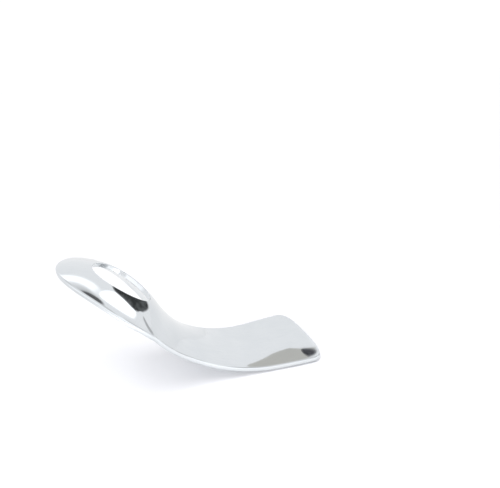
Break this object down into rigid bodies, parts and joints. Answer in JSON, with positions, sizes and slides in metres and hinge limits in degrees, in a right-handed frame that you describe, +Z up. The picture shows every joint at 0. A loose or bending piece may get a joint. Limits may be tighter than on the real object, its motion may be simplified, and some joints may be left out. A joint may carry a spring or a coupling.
{
  "type": "balancing wine bottle holder",
  "caption": "Curved polished metal plate that holds one wine bottle by its neck through a round hole, balanced on a wide foot with non-slip pads.",
  "frame": {"origin": "middle of the bounding box at table level, under the holder", "axes": "+X from the head with the hole to the free end of the foot, +Y across the plate, +Z up; the plate is symmetric about Y = 0"},
  "size_m": [0.1793, 0.0938, 0.0956],
  "materials": {
    "polished_metal": "mirror polished, with fine wipe marks",
    "pad_elastomer": "clear, slightly frosted soft elastomer"
  },
  "bodies": {
    "root": {"holder_plate": "polished_metal", "foot_pad_1": "pad_elastomer", "foot_pad_2": "pad_elastomer", "foot_pad_3": "pad_elastomer", "foot_pad_4": "pad_elastomer"}
  },
  "joints": []
}
